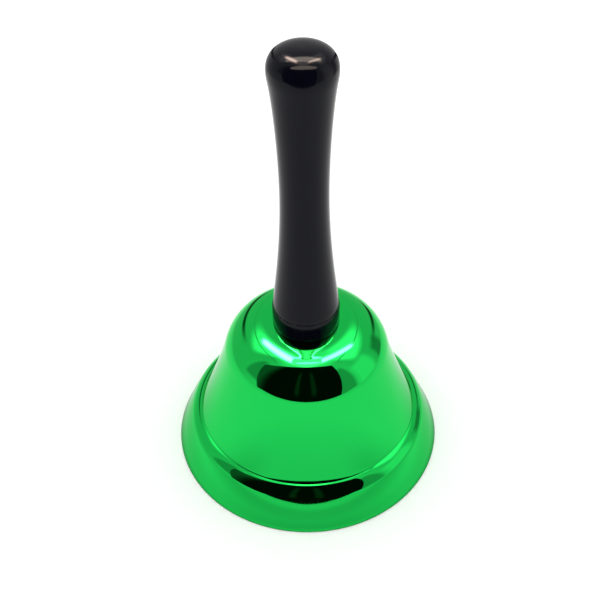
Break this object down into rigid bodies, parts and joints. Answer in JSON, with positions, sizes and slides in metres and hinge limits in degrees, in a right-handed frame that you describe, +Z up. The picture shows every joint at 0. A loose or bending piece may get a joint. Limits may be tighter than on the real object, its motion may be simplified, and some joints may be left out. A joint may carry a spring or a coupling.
{
  "type": "hand bell",
  "caption": "Green metal hand bell standing mouth down: flared shell with a stepped lip, waisted black handle on a black collar, and a clapper hanging inside on a link and an eye bolt.",
  "frame": {"origin": "centre of the bell's mouth, on the plane of the rim that the bell stands on", "axes": "+Z up the axis of shell and handle; the clapper's main swing is in the XZ plane and its cross swing in the YZ plane"},
  "size_m": [0.08, 0.08, 0.1292],
  "materials": {
    "green_shell": "transparent green lacquer over bright plated steel, mirror gloss",
    "black_lacquer": "turned wood under gloss black lacquer",
    "brass": "machined",
    "zinc_steel": "bright zinc plated",
    "ball_steel": "plain steel, lightly tumbled"
  },
  "bodies": {
    "root": {"bell_shell": "green_shell", "collar": "black_lacquer", "handle": "black_lacquer", "threaded_insert": "brass", "eye_bolt": "zinc_steel", "plain_washer": "zinc_steel", "spring_washer": "zinc_steel", "hex_nut": "zinc_steel"},
    "link": {"clapper_link": "zinc_steel"},
    "clapper": {"clapper_rod": "zinc_steel", "clapper_ball": "ball_steel"}
  },
  "joints": [
    {"name": "main_swing", "type": "hinge", "parent": "root", "child": "link", "pos_m": [0, 0, 0.03558], "axis": [0, 1, 0], "range_deg": [-50, 50]},
    {"name": "cross_swing", "type": "hinge", "parent": "link", "child": "clapper", "pos_m": [0, 0, 0.03118], "axis": [1, 0, 0], "range_deg": [-20, 20]}
  ]
}
